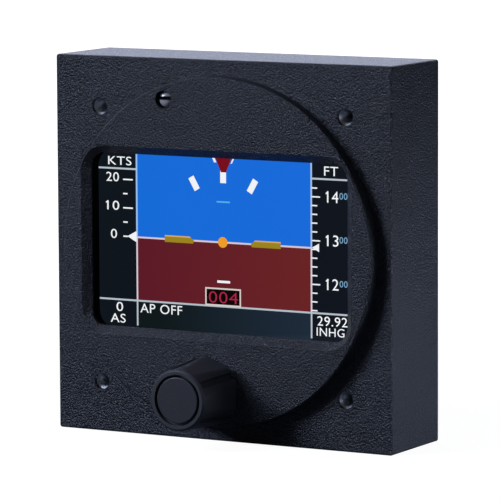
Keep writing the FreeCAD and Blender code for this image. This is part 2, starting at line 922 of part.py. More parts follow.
def make_board_parts():
    """The larger components on the main board's rear face, and the cable socket on its front."""
    left, right = -s.chip_across, s.chip_across
    chip = block(left, board_rear, s.chip_up, s.chip_width, s.chip_depth, s.chip_width)
    name_part(chip, "processor")
    memory = []
    for i in (-1, 1):
        x = left + s.memory_apart / 2 * i
        memory.append(block(x, board_rear, -s.memory_down, s.memory_width, s.chip_depth, s.memory_height))
    name_part(group(*memory), "memory_chips")
    can = block(right, board_rear, s.chip_up, s.can_width, s.can_depth, s.can_height)
    inside_width = s.can_width - s.can_wall * 2
    inside_height = s.can_height - s.can_wall * 2
    inside_depth = s.can_depth - s.can_wall
    inside = block(right, board_rear, s.chip_up, inside_width, inside_depth, inside_height)
    name_part(cut(can, inside), "shield_can")
    motion = block(right, board_rear, s.chip_up, s.motion_width, s.motion_depth, s.motion_width)
    name_part(motion, "inertial_sensor")
    power_x = s.power_apart / 2
    choke = block(-power_x, board_rear, plug_z, s.choke_width, s.choke_depth, s.choke_width)
    name_part(choke, "power_choke")
    cans = []
    for i in (-1, 1):
        x = power_x + s.capacitor_step / 2 * i
        cans.append(rod(x, board_rear, plug_z, s.capacitor_radius, s.capacitor_depth))
    name_part(group(*cans), "power_capacitors")
    make_socket()


def make_socket():
    """Socket on the board's front that grips the end of the display's ribbon cable."""
    ribbon_end = s.window_up - s.flex_slope - s.flex_tail
    top = ribbon_end + s.socket_bite
    front = board_front - s.socket_depth
    middle = top - s.socket_height / 2
    shell = block(0, front, middle, s.socket_width, s.socket_depth, s.socket_height)
    slot_front = board_front - s.socket_depth / 2 - s.socket_slot / 2
    slot_height = (s.socket_bite + s.slip) * 2
    slot = block(0, slot_front, top, s.flex_width + s.slip * 2, s.socket_slot, slot_height)
    name_part(cut(shell, slot), "flex_socket")


def connector_places():
    """The fifteen contacts: a row of eight above a row of seven."""
    places = []
    for count, level in ((LONG_ROW, 0.5), (SHORT_ROW, -0.5)):
        for i in range(count):
            places.append((s.contact_pitch * (i - (count - 1) / 2), plug_z + s.contact_drop * level))
    return places


def trapezoid(sk, inset):
    """The keyed outline of the connector, wider at the top."""
    high = plug_height / 2 - inset
    wide = plug_width / 2 - inset
    low = wide - s.plug_taper
    corners = [(-low, plug_z - high), (low, plug_z - high), (wide, plug_z + high), (-wide, plug_z + high)]
    return polygon(sk, corners)


def make_connector():
    """Fifteen-way data connector: moulded block, steel shell and contacts."""
    flange_front = cover_front - s.flange_thick
    shell_end = case_depth + s.plug_reach

    body = new_body("connector_block")
    trapezoid(new_sketch(body, at=flange_front), s.plug_wall + s.thread_gap)
    pad(body, body.Group[-1], shell_end - s.plug_block_short - flange_front)
    round_edges(body, runs_in_depth, s.plug_corner - s.plug_wall)
    sk = new_sketch(body, at=board_rear)
    wide, high = plug_width + s.plug_block_end * 2, plug_height + s.plug_block_side * 2
    rectangle(sk, 0, plug_z, wide, high)
    pad(body, sk, flange_front - board_rear)
    sk = new_sketch(body, at=board_rear)
    for x, z in connector_places():
        circle(sk, x, z, s.contact_radius + s.slip)
    pocket(body, sk, shell_end - board_rear)
    name_part(body, "connector_block")

    body = new_body("connector_shell")
    trapezoid(new_sketch(body, at=cover_front), 0)
    pad(body, body.Group[-1], shell_end - cover_front)
    round_edges(body, runs_in_depth, s.plug_corner)
    sk = new_sketch(body, at=flange_front)
    wide, high = (jack_x + s.flange_end) * 2, plug_height + s.flange_side * 2
    rounded_rectangle(sk, 0, plug_z, wide, high, s.plug_corner)
    pad(body, sk, s.flange_thick)
    bore = new_body("shell_bore")
    trapezoid(new_sketch(bore, at=flange_front - s.slip), s.plug_wall)
    pad(bore, bore.Group[-1], shell_end - flange_front + s.slip * 2)
    round_edges(bore, runs_in_depth, s.plug_corner - s.plug_wall)
    holes = []
    for i in (-1, 1):
        x = jack_x * i
        length = s.flange_thick + s.slip * 2
        holes.append(rod(x, flange_front - s.slip, plug_z, s.jack_shank + s.slip, length))
    name_part(cut(body, bore, *holes), "connector_shell")

    tail = board_front - s.contact_tail
    length = shell_end - s.contact_short - tail
    contacts = [rod(x, tail, z, s.contact_radius, length) for x, z in connector_places()]
    name_part(group(*contacts), "connector_contacts")

    make_jack_screws(flange_front)


def make_jack_screws(flange_front):
    """Two hexagonal posts beside the plug, with their nuts behind the shell's flange."""
    nut_front = flange_front - s.jack_nut
    screws = []
    nuts = []
    for i in (-1, 1):
        x = jack_x * i
        post = hexagon(x, case_depth, plug_z, s.jack_hex, s.jack_length)
        shank = rod(x, nut_front, plug_z, s.jack_shank, case_depth - nut_front)
        bore = rod(x, case_depth + s.jack_floor, plug_z, s.jack_thread, s.jack_length)
        screws.append(cut(fuse(post, shank), bore))
        nut = hexagon(x, nut_front, plug_z, s.jack_hex, s.jack_nut)
        hole = rod(x, nut_front - s.slip, plug_z, s.jack_shank + s.thread_gap, s.jack_nut + s.slip * 2)
        nuts.append(cut(nut, hole))
    name_part(group(*screws), "jack_screws")
    name_part(group(*nuts), "jack_nuts")


def make_rear_cover():
    """Flat cover, let in flush, with countersunk screws, ports and the connector cut-out."""
    body = new_body("rear_cover")
    sk = new_sketch(body, at=cover_front)
    rectangle(sk, 0, 0, (recess - s.cover_gap) * 2, (recess - s.cover_gap) * 2)
    pad(body, sk, s.cover_thick)
    sk = new_sketch(body, at=cover_front)
    wide, high = plug_width + s.slip * 6, plug_height + s.slip * 6
    rounded_rectangle(sk, 0, plug_z, wide, high, s.plug_corner)
    for i in (-1, 1):
        circle(sk, jack_x * i, plug_z, s.jack_shank + s.slip)
        circle(sk, port_x * i, s.port_up, s.port_thread + s.slip)
    pocket(body, sk, s.cover_thick)
    for x, z in cover_screw_places():
        sk = new_sketch(body, at=cover_front)
        circle(sk, x, z, s.screw_radius + s.slip)
        pocket(body, sk, s.cover_thick)
    rims = [spot_key(x, z) for x, z in cover_screw_places()]
    sink = s.screw_head - s.screw_radius - s.slip
    bevel_edges(body, lambda e: lies_in_depth(e, case_depth) and rim_key(e) in rims, sink)
    return body


def cover_screw_places():
    corners = [(cover_screw_x * i, cover_screw_x * j) for i, j in CORNERS]
    return corners + [(side_post_x * side, as_size(0)) for side in (-1, 1)]


def spot_key(x, z):
    return round(x.number, 3), round(z.number, 3)


def rim_key(edge):
    curve = edge.Curve
    if not isinstance(curve, Part.Circle):
        return None
    return round(curve.Center.x, 3), round(curve.Center.z, 3)


def make_cover_screws():
    pieces = []
    head = s.screw_head - s.screw_radius
    for x, z in cover_screw_places():
        taper = cone(x, case_depth - head, z, s.screw_radius, s.screw_head, head)
        stem = rod(x, case_depth - s.screw_length, z, s.screw_radius, s.screw_length - head)
        pieces.append(with_cross(fuse(taper, stem), x, case_depth, z))
    return group(*pieces)


def make_cover_gasket():
    body = new_body("cover_gasket")
    sk = new_sketch(body, at=ledge)
    rectangle(sk, 0, 0, (recess - s.cover_gap) * 2, (recess - s.cover_gap) * 2)
    inner = (cavity + s.gasket_inset) * 2
    rectangle(sk, 0, 0, inner, inner)
    pad(body, sk, s.gasket_depth)
    return body


def make_air_port(side, label):
    """Barbed hose fitting through the cover, its seal, lock nut, sleeve and pressure sensor."""
    x, z = port_x * side, s.port_up
    body = new_body(label + "_fitting")
    hex_front = case_depth + s.port_seal
    hex_back = hex_front + s.port_hex_depth
    nut_front = cover_front - s.port_nut_depth
    tip = hex_back + s.barb_length * 4
    profile = [(s.port_bore, hex_back), (s.port_bore, tip), (s.port_tip, tip)]
    for barb in (1, 2, 3):
        shoulder = tip - s.barb_length * barb
        profile += [(s.port_barb, shoulder), (s.port_neck, shoulder)]
    profile.append((s.port_neck, hex_back))
    revolve(body, polygon(new_sketch(body, role="XY_Plane"), profile))
    put(body, x, 0, z)
    hex_base = hexagon(x, hex_front, z, s.port_hex, s.port_hex_depth)
    thread = rod(x, nut_front, z, s.port_thread, hex_front - nut_front)
    seat = rod(x, nut_front - s.slip, z, s.sleeve_radius + s.thread_gap, s.port_nut_depth + s.slip)
    bore = rod(x, nut_front, z, s.port_bore, tip - nut_front)
    name_part(cut(fuse(body, hex_base, thread), seat, bore), label + "_fitting")

    sleeve_front = board_rear + s.air_chip_depth + s.slip
    sleeve_length = cover_front - s.slip - sleeve_front
    sleeve = rod(x, sleeve_front, z, s.sleeve_radius, sleeve_length)
    inner = rod(x, sleeve_front - s.slip, z, s.nipple_radius + s.thread_gap, sleeve_length + s.slip * 2)
    name_part(cut(sleeve, inner), label + "_sleeve")

    chip = block(x, board_rear, z, s.air_chip, s.air_chip_depth, s.air_chip)
    nipple = rod(x, board_rear + s.air_chip_depth, z, s.nipple_radius, s.nipple_length)
    hole = rod(x, board_rear + s.air_chip_depth, z, s.nipple_bore, s.nipple_length)
    name_part(cut(fuse(chip, nipple), hole), label + "_sensor")


def make_port_rings():
    """The flat seals outside the cover and the lock nuts inside it."""
    seals = []
    nuts = []
    for side in (-1, 1):
        x, z = port_x * side, s.port_up
        ring = rod(x, case_depth, z, s.port_hex / 2, s.port_seal)
        hole = rod(x, case_depth - s.slip, z, s.port_thread + s.slip, s.port_seal + s.slip * 2)
        seals.append(cut(ring, hole))
        nut = hexagon(x, cover_front - s.port_nut_depth, z, s.port_hex, s.port_nut_depth)
        start = cover_front - s.port_nut_depth - s.slip
        hole = rod(x, start, z, s.port_thread + s.thread_gap, s.port_nut_depth + s.slip * 2)
        nuts.append(cut(nut, hole))
    name_part(group(*seals), "port_seals")
    name_part(group(*nuts), "port_nuts")


def make_knob_body():
    """Tapered knob with a skirt, finger flats, five grooves and a seat for its cap."""
    body = new_body("knob_body")
    profile = [
        (s.knob_skirt_bore, knob_rear),
        (s.knob_rear_radius, knob_rear),
        (s.knob_front_radius, knob_front + s.knob_rim),
        (s.knob_front_radius - s.knob_rim, knob_front),
        (s.cap_radius + s.cap_moat, knob_front),
        (s.cap_radius + s.cap_moat, cap_seat),
        (s.cap_spigot + s.thread_gap, cap_seat),
        (s.cap_spigot + s.thread_gap, pocket_floor),
        (s.screw_radius + s.slip, pocket_floor),
        (s.screw_radius + s.slip, collet_seat),
        (s.collet_front_radius + s.thread_gap, collet_seat),
        (s.collet_rear_radius + s.thread_gap, skirt_floor),
        (s.knob_skirt_bore, skirt_floor),
    ]
    revolve(body, polygon(new_sketch(body, role="XY_Plane"), profile))

    start = knob_front + s.groove_start
    beyond = s.knob_rear_radius + s.groove_width
    half_turn = 180.0 / s.groove_count.number
    flats = [
        (s.knob_front_radius, start),
        (beyond, start),
        (beyond, knob_rear + s.slip),
        (s.knob_rear_radius - s.flat_depth, knob_rear + s.slip),
    ]
    sk = polygon(new_sketch(body, role="XY_Plane", turn=half_turn), flats)
    flat = pocket(body, sk, s.knob_rear_radius * 2, middle=True)
    around(body, flat, s.groove_count)

    floor_front = s.knob_front_radius - s.groove_depth
    floor_rear = s.knob_rear_radius - s.groove_depth
    groove_shape = [
        (floor_front, start),
        (beyond, start),
        (beyond, knob_rear + s.slip),
        (floor_rear, knob_rear + s.slip),
    ]
    sk = polygon(new_sketch(body, role="XY_Plane"), groove_shape)
    groove = pocket(body, sk, s.groove_width, middle=True)
    around(body, groove, s.groove_count)
    body.Placement = Placement(Vector(), Rotation(Vector(0, 1, 0), -s.groove_angle.number))
    put(body, knob_x, 0, knob_z)
    return body


def make_knob_cap():
    """Snap-in cap that hides the collet screw."""
    body = new_body("knob_cap")
    front = cap_seat - s.cap_plate
    spigot_end = cap_seat + s.cap_spigot_length
    inner = s.cap_spigot - s.cap_spigot_wall
    profile = [
        (0, front),
        (s.cap_radius, front),
        (s.cap_radius, cap_seat),
        (s.cap_spigot, cap_seat),
        (s.cap_spigot, spigot_end),
        (inner, spigot_end),
        (inner, cap_seat),
        (0, cap_seat),
    ]
    revolve(body, polygon(new_sketch(body, role="XY_Plane"), profile))
    round_edges(body, lambda e: lies_in_depth(e, front), s.slip * 2)
    put(body, knob_x, 0, knob_z)
    return body


def make_collet():
    """Split brass collet that the screw draws into the knob's taper to grip the shaft."""
    body = new_body("knob_collet")
    bore = s.shaft_radius + s.shaft_fit
    closed = collet_front + s.collet_end
    profile = [
        (s.screw_radius + s.thread_gap, collet_front),
        (s.collet_front_radius, collet_front),
        (s.collet_rear_radius, collet_rear),
        (bore, collet_rear),
        (bore, closed),
        (s.screw_radius + s.thread_gap, closed),
    ]
    revolve(body, polygon(new_sketch(body, role="XY_Plane"), profile))
    slot_shape = [
        (0, closed + s.slip),
        (s.collet_rear_radius * 2, closed + s.slip),
        (s.collet_rear_radius * 2, collet_rear + s.slip),
        (0, collet_rear + s.slip),
    ]
    sk = polygon(new_sketch(body, role="XY_Plane"), slot_shape)
    slot = pocket(body, sk, s.collet_slot, middle=True)
    around(body, slot, 3)
    put(body, knob_x, 0, knob_z)
    return body


def make_collet_screw():
    head = pocket_floor - s.knob_screw_head_depth
    tip = collet_front + s.collet_end - s.slip
    cheese = rod(knob_x, head, knob_z, s.knob_screw_head, s.knob_screw_head_depth)
    stem = rod(knob_x, head, knob_z, s.screw_radius, tip - head)
    slot = block(knob_x, head, knob_z, s.knob_screw_head * 2, s.knob_screw_slot, s.collet_slot)
    return cut(fuse(cheese, stem), slot)


def make_shaft():
    """Knob shaft: round for the collet, a collar behind the bushing, flats for the rotor."""
    body = new_body("encoder_shaft")
    collar_back = collar_front + s.collar_thick
    profile = [
        (0, shaft_front),
        (s.shaft_radius, shaft_front),
        (s.shaft_radius, collar_front),
        (s.collar_radius, collar_front),
        (s.collar_radius, collar_back),
        (s.drive_radius, collar_back),
        (s.drive_radius, shaft_tip),
        (0, shaft_tip),
    ]
    revolve(body, polygon(new_sketch(body, role="XY_Plane"), profile))
    sk = new_sketch(body, at=collar_back)
    for side in (-1, 1):
        rectangle(sk, 0, s.drive_flat * side * 2, s.drive_radius * 3, s.drive_flat * 2)
    pocket(body, sk, shaft_tip - collar_back)
    put(body, knob_x, 0, knob_z)
    return body


def make_rotor():
    """Contact wheel that the shaft turns and slides through."""
    body = new_body("encoder_rotor")
    sk = new_sketch(body, at=rotor_front)
    circle(sk, 0, 0, s.rotor_radius)
    pad(body, sk, s.rotor_thick)
    fit = s.thread_gap
    half = s.drive_flat + fit
    reach = (s.drive_radius.number + fit.number) ** 2 - half.number ** 2
    wide = math.sqrt(reach)
    sk = new_sketch(body, at=rotor_front)
    radius = s.drive_radius.number + fit.number
    up = half.number
    angle = math.atan2(up, wide)
    right = Part.ArcOfCircle(Part.Circle(Vector(), Vector(0, 0, 1), radius), -angle, angle)
    left = Part.ArcOfCircle(
        Part.Circle(Vector(), Vector(0, 0, 1), radius), math.pi - angle, math.pi + angle
    )
    a = sk.addGeometry(right, False)
    b = sk.addGeometry(left, False)
    top = sk.addGeometry(Part.LineSegment(Vector(wide, up, 0), Vector(-wide, up, 0)), False)
    low = sk.addGeometry(Part.LineSegment(Vector(-wide, -up, 0), Vector(wide, -up, 0)), False)
    for first, end, second, start in ((a, 2, top, 1), (top, 2, b, 1), (b, 2, low, 1), (low, 2, a, 1)):
        sk.addConstraint(Sketcher.Constraint("Coincident", first, end, second, start))
    for arc in (a, b):
        sk.addConstraint(Sketcher.Constraint("Coincident", arc, 3, -1, 1))
        index = sk.addConstraint(Sketcher.Constraint("Radius", arc, radius))
        sk.setExpression(f"Constraints[{index}]", (s.drive_radius + fit).formula)
    for line, level in ((top, half), (low, -half)):
        sk.addConstraint(Sketcher.Constraint("Horizontal", line))
        hold(sk, "DistanceY", line, 1, level)
    pocket(body, sk, s.rotor_thick)
    put(body, knob_x, 0, knob_z)
    return body


def make_encoder():
    """The fixed pieces of the rotary encoder and the small board that it is soldered to."""
    x, z = knob_x, knob_z
    case = block(x, encoder_front, z, s.encoder_width, s.encoder_depth, s.encoder_height)
    cavity = rod(x, encoder_front, z, s.encoder_cavity, s.encoder_depth - s.encoder_floor)
    name_part(cut(case, cavity), "encoder_body")

    plate_width = s.encoder_width + s.bracket_thick * 2
    plate = block(x, s.front_wall, z, plate_width, s.bracket_thick, s.encoder_height)
    side_x = s.encoder_width / 2 + s.bracket_thick / 2
    legs = [
        block(x + side_x * i, s.front_wall, z, s.bracket_thick, encoder_back - s.front_wall, s.bracket_leg)
        for i in (-1, 1)
    ]
    round_bushing = s.bushing_radius + s.thread_gap
    hole = rod(x, s.front_wall - s.slip, z, round_bushing, s.bracket_thick + s.slip * 2)
    name_part(cut(fuse(plate, *legs), hole), "encoder_bracket")

    tube = rod(x, bushing_front, z, s.bushing_radius, encoder_front - bushing_front)
    bore_length = encoder_front - bushing_front + s.slip * 2
    bore = rod(x, bushing_front - s.slip, z, s.shaft_radius + s.shaft_fit, bore_length)
    name_part(cut(tube, bore), "encoder_bushing")

    ring = rod(x, disc_face - s.washer_thick, z, s.washer_radius, s.washer_thick)
    hole = rod(x, disc_face - s.washer_thick - s.slip, z, round_bushing, s.washer_thick + s.slip * 2)
    name_part(cut(ring, hole), "bushing_washer")
    nut_front = disc_face - s.washer_thick - s.nut_thick
    nut = hexagon(x, nut_front, z, s.nut_flats, s.nut_thick)
    hole = rod(x, nut_front - s.slip, z, round_bushing, s.nut_thick + s.slip * 2)
    name_part(cut(nut, hole), "bushing_nut")

    dome = new_body("switch_dome")
    crown = encoder_floor - s.dome_rise
    profile = [
        (0, crown),
        (s.dome_radius / 2, crown),
        (s.dome_radius, encoder_floor),
        (s.dome_radius - s.dome_thick * 2, encoder_floor),
        (s.dome_radius / 2 - s.dome_thick, crown + s.dome_thick),
        (0, crown + s.dome_thick),
    ]
    revolve(dome, polygon(new_sketch(dome, role="XY_Plane"), profile))
    put(dome, x, 0, z)
    name_part(dome, "switch_dome")

    board = new_body("encoder_board")
    sk = new_sketch(board, at=encoder_back)
    rectangle(sk, x, z, s.small_board_width, s.small_board_height)
    for px, pz in terminal_places():
        circle(sk, px, pz, s.terminal_radius + s.slip)
    pad(board, sk, s.board_thick)
    name_part(board, "encoder_board")
    terminals = []
    for px, pz in terminal_places():
        terminals.append(rod(px, encoder_back, pz, s.terminal_radius, s.terminal_length))
    name_part(group(*terminals), "encoder_terminals")
    header = block(x, small_board_rear, z, s.header_width, s.header_depth, s.header_height)
    name_part(header, "board_header")


def terminal_places():
    """Three contacts below the encoder's body and two for the switch above it."""
    low = knob_z - s.encoder_height / 2 + s.terminal_radius * 2
    high = knob_z + s.encoder_height / 2 - s.terminal_radius * 2
    below = [(knob_x + s.terminal_pitch * i, low) for i in (-1, 0, 1)]
    return below + [(knob_x + s.terminal_pitch * i, high) for i in (-1, 1)]


name_part(make_housing(), "housing")
name_part(make_inserts(), "panel_inserts")
name_part(make_window_gasket(), "window_gasket")
name_part(make_window_glass(), "window_glass")
display_cell, lamp_plate = make_display()
name_part(display_cell, "display_panel")
name_part(lamp_plate, "backlight")
name_part(make_clamp(), "display_clamp")
name_part(make_clamp_screws(), "clamp_screws")
name_part(make_display_flex(), "display_flex")
name_part(make_light_pipe(), "light_pipe")
name_part(make_light_sensor(), "light_sensor")
name_part(make_main_board(), "main_board")
name_part(make_board_screws(), "board_screws")
make_board_parts()
make_connector()
name_part(make_rear_cover(), "rear_cover")
name_part(make_cover_gasket(), "cover_gasket")
name_part(make_cover_screws(), "cover_screws")
make_air_port(-1, "pitot")
make_air_port(1, "static")
make_port_rings()
make_encoder()
name_part(make_rotor(), "encoder_rotor")
name_part(make_shaft(), "encoder_shaft")
name_part(make_knob_body(), "knob_body")
name_part(make_knob_cap(), "knob_cap")
name_part(make_collet(), "knob_collet")
name_part(make_collet_screw(), "collet_screw")

doc.recompute()
failed = [item.Label for item in doc.Objects if {"Invalid", "Error"} & set(item.State)]
if failed:
    raise RuntimeError(f"failed objects: {failed}")
for label, piece in PIECES.items():
    shape = piece.Shape
    if shape.isNull() or not shape.isValid() or not shape.Solids:
        raise RuntimeError(f"{label} is not a sound solid")

os.makedirs("parts", exist_ok=True)
for label, piece in PIECES.items():
    piece.Shape.exportStep(f"parts/{label}.step")
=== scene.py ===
import math

import bmesh
import bpy
from mathutils import Matrix, Vector


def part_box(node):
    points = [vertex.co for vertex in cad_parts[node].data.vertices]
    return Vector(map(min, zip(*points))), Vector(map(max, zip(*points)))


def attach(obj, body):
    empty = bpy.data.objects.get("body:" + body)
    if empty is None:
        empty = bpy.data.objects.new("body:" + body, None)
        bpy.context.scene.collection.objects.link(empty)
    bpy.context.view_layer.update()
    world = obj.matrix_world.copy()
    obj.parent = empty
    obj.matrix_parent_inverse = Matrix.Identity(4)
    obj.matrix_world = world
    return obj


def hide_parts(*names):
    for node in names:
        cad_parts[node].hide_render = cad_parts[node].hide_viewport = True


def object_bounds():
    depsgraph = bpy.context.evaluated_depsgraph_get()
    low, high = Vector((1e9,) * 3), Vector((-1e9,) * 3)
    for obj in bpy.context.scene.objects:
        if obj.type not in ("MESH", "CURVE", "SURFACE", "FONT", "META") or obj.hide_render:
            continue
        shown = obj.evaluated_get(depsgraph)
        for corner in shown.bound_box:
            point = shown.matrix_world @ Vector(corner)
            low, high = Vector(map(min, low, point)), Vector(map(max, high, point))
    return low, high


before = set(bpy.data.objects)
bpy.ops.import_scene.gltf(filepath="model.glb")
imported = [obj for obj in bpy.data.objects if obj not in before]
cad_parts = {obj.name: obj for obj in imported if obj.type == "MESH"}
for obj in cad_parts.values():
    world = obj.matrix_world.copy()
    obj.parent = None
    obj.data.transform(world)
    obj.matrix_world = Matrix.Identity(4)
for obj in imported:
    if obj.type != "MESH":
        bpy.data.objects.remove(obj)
cad_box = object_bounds()
MM = 0.001

# Camera
# A long portrait lens almost a metre away, to the right of the instrument and a little
# above it, so that the square case shows its right side and a thin slice of its top.
camera_turn = math.radians(29.2136)
camera_rise = math.radians(6.9272)
camera_roll = math.radians(-0.2684)
camera_distance = 934.776 * MM
camera_right = 6.5047 * MM
camera_up = 0.3688 * MM
look_back = Vector((
    math.sin(camera_turn) * math.cos(camera_rise),
    -math.cos(camera_turn) * math.cos(camera_rise),
    math.sin(camera_rise),
))
level_right = Vector((math.cos(camera_turn), math.sin(camera_turn), 0))
level_up = look_back.cross(level_right)
right = level_right * math.cos(camera_roll) + level_up * math.sin(camera_roll)
up = level_up * math.cos(camera_roll) - level_right * math.sin(camera_roll)
lens = bpy.data.cameras.new("portrait_lens")
lens.lens = 300.685
lens.sensor_width = 36
lens.clip_start = 0.01
lens.clip_end = 20
camera = bpy.data.objects.new("camera", lens)
bpy.context.scene.collection.objects.link(camera)
turned = Matrix((right, up, look_back)).transposed().to_4x4()
place = look_back * camera_distance + right * camera_right + up * camera_up
camera.matrix_world = Matrix.Translation(place) @ turned
bpy.context.scene.camera = camera
bpy.context.scene.view_settings.view_transform = "Standard"

# Floor and studio light
# A matt white table under a faint sky. The key box stands in front at the upper left, with
# small ones above, at the right and low down, and two behind for the top and the rear.
# Black paper on the table keeps reflections out of the glass.


def colour(text):
    """An sRGB hex colour as linear red, green, blue and alpha."""
    parts = [int(text[i:i + 2], 16) / 255 for i in (1, 3, 5)]
    return [c / 12.92 if c <= 0.04045 else ((c + 0.055) / 1.055) ** 2.4 for c in parts] + [1]


def new_material(name):
    """An empty material with its node tree."""
    made = bpy.data.materials.new(name)
    made.use_nodes = True
    made.node_tree.nodes.clear()
    return made, made.node_tree


def add_node(tree, kind, inputs=None, **settings):
    """Adds one node with its settings, and with a value or a link for each named input."""
    made = tree.nodes.new(kind)
    for name, value in settings.items():
        setattr(made, name, value)
    for name, value in (inputs or {}).items():
        if isinstance(value, bpy.types.NodeSocket):
            tree.links.new(value, made.inputs[name])
        else:
            made.inputs[name].default_value = value
    return made


def rescale(tree, value, low, high, start=0.0, end=1.0):
    """Maps a value that runs from start to end onto the range from low to high."""
    return add_node(tree, "ShaderNodeMapRange", {
        "Value": value, "From Min": start, "From Max": end, "To Min": low, "To Max": high,
    }).outputs[0]


def blend(tree, share, first, second):
    """Mixes two colours by a share that runs from 0 to 1."""
    return add_node(
        tree, "ShaderNodeMix", {0: share, 6: first, 7: second}, data_type="RGBA",
    ).outputs[2]


def surface(tree, kind, inputs):
    """Adds the shader that a material ends in, joined to its output."""
    shader = add_node(tree, kind, inputs)
    add_node(tree, "ShaderNodeOutputMaterial", {"Surface": shader.outputs[0]})


def add_sheet(name, corners, material):
    """A flat four-cornered sheet of the studio, which isn't part of the object."""
    data = bpy.data.meshes.new(name)
    data.from_pydata(corners, [], [(0, 1, 2, 3)])
    data.materials.append(material)
    made = bpy.data.objects.new(name, data)
    bpy.context.scene.collection.objects.link(made)


def soft_box(name, place, width, height, power, tint):
    """A rectangular soft box at a place, aimed at the middle of the object."""
    lamp = bpy.data.lights.new(name, "AREA")
    lamp.shape = "RECTANGLE"
    lamp.size = width
    lamp.size_y = height
    lamp.energy = power
    lamp.color = colour(tint)[:3]
    made = bpy.data.objects.new(name, lamp)
    made.location = place
    made.rotation_mode = "QUATERNION"
    made.rotation_quaternion = (-Vector(place)).to_track_quat("-Z", "Y")
    bpy.context.scene.collection.objects.link(made)


def studio_sheet(name, tint):
    """White to the camera, more so away from the object, and of the given tint to all else."""
    made, tree = new_material(name)
    seen = add_node(tree, "ShaderNodeLightPath")
    place = add_node(tree, "ShaderNodeTexCoord").outputs["Object"]
    away = add_node(tree, "ShaderNodeVectorMath", {0: place}, operation="LENGTH")
    whiter = rescale(tree, away.outputs["Value"], 0.8, 1.0, 0.08, 0.35)
    paper = blend(tree, seen.outputs["Is Camera Ray"], colour(tint), colour("#C8CCD8"))
    matt = add_node(tree, "ShaderNodeBsdfDiffuse", {"Color": paper})
    bright = add_node(tree, "ShaderNodeEmission", {"Color": (1, 1, 1, 1), "Strength": 1.2})
    share = add_node(
        tree, "ShaderNodeMath", {0: seen.outputs["Is Camera Ray"], 1: whiter},
        operation="MULTIPLY",
    )
    surface(tree, "ShaderNodeMixShader", {
        0: share.outputs[0], 1: matt.outputs[0], 2: bright.outputs[0],
    })
    return made


table_z = cad_box[0].z
table_half = 6.0
add_sheet("table", [
    (-table_half, -table_half, table_z),
    (table_half, -table_half, table_z),
    (table_half, table_half, table_z),
    (-table_half, table_half, table_z),
], studio_sheet("matt_white_table", "#5A5E68"))

paper_near, paper_far, paper_half = 0.17, 2.5, 1.5
paper_lift = 0.5 * MM
mirrored = Vector((-math.sin(camera_turn), -math.cos(camera_turn), 0))
aside = Vector((math.cos(camera_turn), -math.sin(camera_turn), 0))
lifted = Vector((0, 0, table_z + paper_lift))
add_sheet("black_paper", [
    lifted + mirrored * reach + aside * side
    for reach, side in (
        (paper_near, -paper_half), (paper_near, paper_half),
        (paper_far, paper_half), (paper_far, -paper_half),
    )
], studio_sheet("black_paper", "#151515"))

world = bpy.data.worlds.new("studio")
bpy.context.scene.world = world
world.use_nodes = True
tree = world.node_tree
tree.nodes.clear()
seen = add_node(tree, "ShaderNodeLightPath")
clear_path = add_node(
    tree, "ShaderNodeMath",
    {0: seen.outputs["Is Camera Ray"], 1: seen.outputs["Is Transmission Ray"]},
    operation="MAXIMUM",
)
strength = rescale(tree, clear_path.outputs[0], 0.05, 1.0)
sky = add_node(tree, "ShaderNodeBackground", {"Color": (1, 1, 1, 1), "Strength": strength})
add_node(tree, "ShaderNodeOutputWorld", {"Surface": sky.outputs[0]})
soft_box("key_box", (-0.56, -0.56, 0.38), 0.28, 0.28, 7.6, "#D6E2FF")
soft_box("top_box", (-0.15, -0.18, 0.26), 0.1, 0.06, 0.25, "#D6E2FF")
soft_box("fill_box", (0.75, -0.22, 0.05), 0.3, 0.3, 0.55, "#D6E2FF")
soft_box("back_box", (-0.5, 0.85, 0.4), 1.1, 0.7, 5.8, "#DCE4FF")
soft_box("rear_box", (-0.32, 0.9, 0.0), 0.4, 0.08, 7, "#DCE4FF")
soft_box("low_box", (0.12, 0.05, -0.036), 0.06, 0.012, 0.07, "#D6E2FF")

# Case
# One aluminium die casting: square box, round spigot and window bevel. It is finished in
# black wrinkle powder coat, which shows as fine leathery pebbles with a satin sheen.


def add_piece(name, mesh, material, body="case", replaces=()):
    """Turns a finished bmesh into a piece of the object that rides on one body."""
    data = bpy.data.meshes.new(name)
    mesh.to_mesh(data)
    mesh.free()
    data.materials.append(material)
    made = bpy.data.objects.new(name, data)
    bpy.context.scene.collection.objects.link(made)
    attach(made, body)
    if replaces:
        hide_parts(*replaces)
    return made


def merge_points(mesh):
    """Joins the points of a mesh that lie in one place."""
    bmesh.ops.remove_doubles(mesh, verts=mesh.verts, dist=0.0005 * MM)


def merged_copy(node):
    """A copy of a node's mesh with its coinciding points joined."""
    mesh = bmesh.new()
    mesh.from_mesh(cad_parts[node].data)
    merge_points(mesh)
    return mesh


def smooth_copy(node, crease=32):
    """A merged copy of a node, smooth but for edges sharper than the crease in degrees."""
    mesh = merged_copy(node)
    sharp = math.radians(crease)
    for face in mesh.faces:
        face.smooth = True
    for edge in mesh.edges:
        edge.smooth = edge.calc_face_angle(math.pi) < sharp
    return mesh


def even_shading(piece):
    """Lets the large flat faces of a piece stay flat beside its small rounded edges."""
    level = piece.modifiers.new("even_shading", "WEIGHTED_NORMAL")
    level.keep_sharp = True
    level.weight = 100


